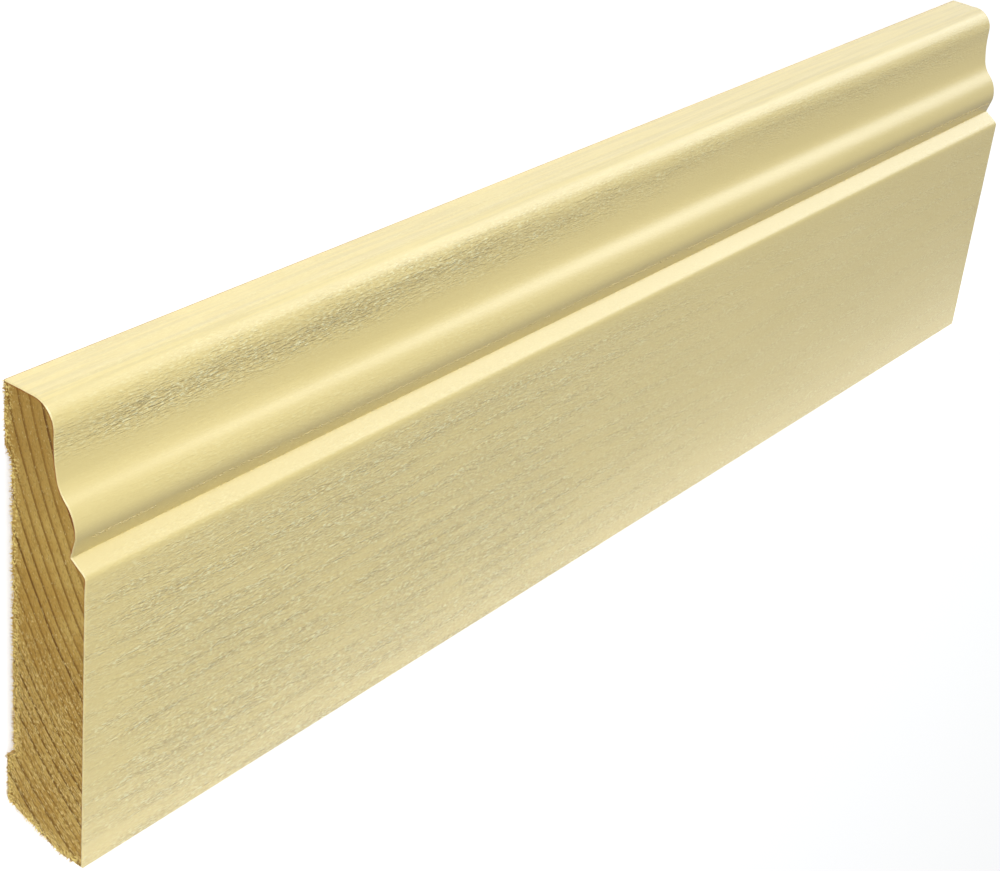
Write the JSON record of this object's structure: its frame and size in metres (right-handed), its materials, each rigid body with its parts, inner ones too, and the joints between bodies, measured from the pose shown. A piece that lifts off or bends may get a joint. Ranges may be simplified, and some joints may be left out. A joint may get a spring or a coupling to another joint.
{
  "type": "skirting board length",
  "caption": "Short length of painted softwood skirting board with a nosing, cove and bead along its top edge, a relieved back and square sawn ends.",
  "frame": {"origin": "middle of the board's outline seen from above, on the plane of its two back feet, as it lies on its back", "axes": "+X along the length, +Y up the height that the board has on a wall, towards its moulded edge, +Z out of the wall, through the show face"},
  "size_m": [0.35, 0.095, 0.021],
  "materials": {
    "painted_pine": "cream satin paint on the show face and top edge, bare planed back and sawn ends"
  },
  "bodies": {
    "root": {"skirting_board": "painted_pine"}
  },
  "joints": []
}
